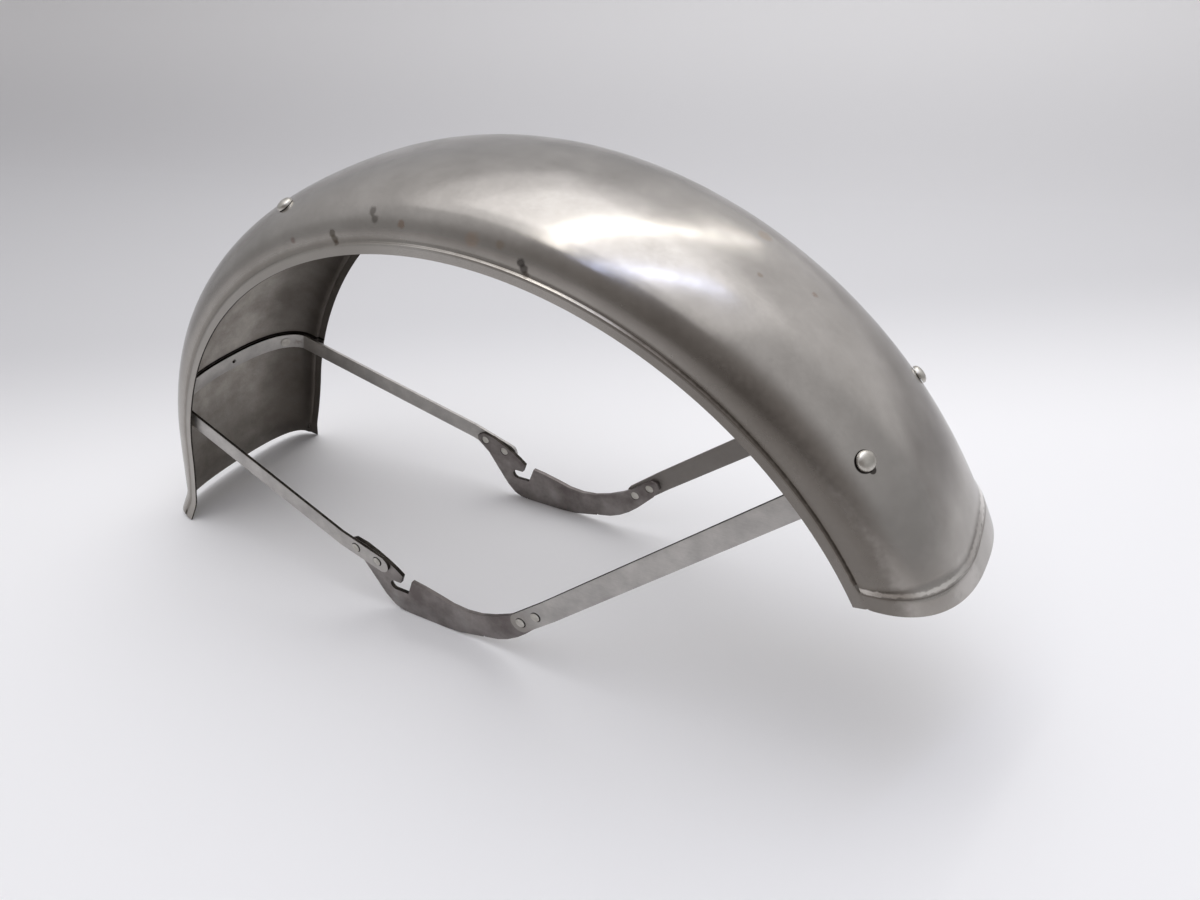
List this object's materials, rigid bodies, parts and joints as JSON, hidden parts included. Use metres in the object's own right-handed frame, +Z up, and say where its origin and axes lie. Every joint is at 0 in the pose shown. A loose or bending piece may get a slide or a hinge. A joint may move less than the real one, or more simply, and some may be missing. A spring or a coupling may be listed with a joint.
{
  "type": "motorcycle front mudguard",
  "caption": "Deep curved front mudguard for a motorcycle, with flat strip stays riveted to hooked side plates whose open slots drop over studs on the fork.",
  "frame": {"origin": "middle of the overall box in X and Y, at the height of the lowest edges, so that Z = 0 is the surface that the rear lip's corners and the plates' lower edges stand on", "axes": "+X forward, +Y to the rider's left, +Z up"},
  "size_m": [0.6582, 0.1684, 0.3315],
  "materials": {
    "blade_steel": "bare pressed sheet, oiled, satin with some rust",
    "stay_steel": "bare rolled strip, satin",
    "plate_steel": "bare cut plate, darker and mottled",
    "rivet_steel": "bare steel, worn bright"
  },
  "bodies": {
    "root": {"guard_blade": "blade_steel", "rear_stay": "stay_steel", "front_stay": "stay_steel", "right_hook_plate": "plate_steel", "left_hook_plate": "plate_steel", "right_rear_joint_rivet_outer": "rivet_steel", "right_rear_joint_rivet_inner": "rivet_steel", "left_rear_joint_rivet_outer": "rivet_steel", "left_rear_joint_rivet_inner": "rivet_steel", "right_front_joint_rivet_inner": "rivet_steel", "right_front_joint_rivet_outer": "rivet_steel", "left_front_joint_rivet_inner": "rivet_steel", "left_front_joint_rivet_outer": "rivet_steel", "right_front_band_rivet": "rivet_steel", "left_front_band_rivet": "rivet_steel", "right_rear_band_rivet": "rivet_steel", "left_rear_band_rivet": "rivet_steel", "right_crown_rivet": "rivet_steel", "left_crown_rivet": "rivet_steel"}
  },
  "joints": []
}
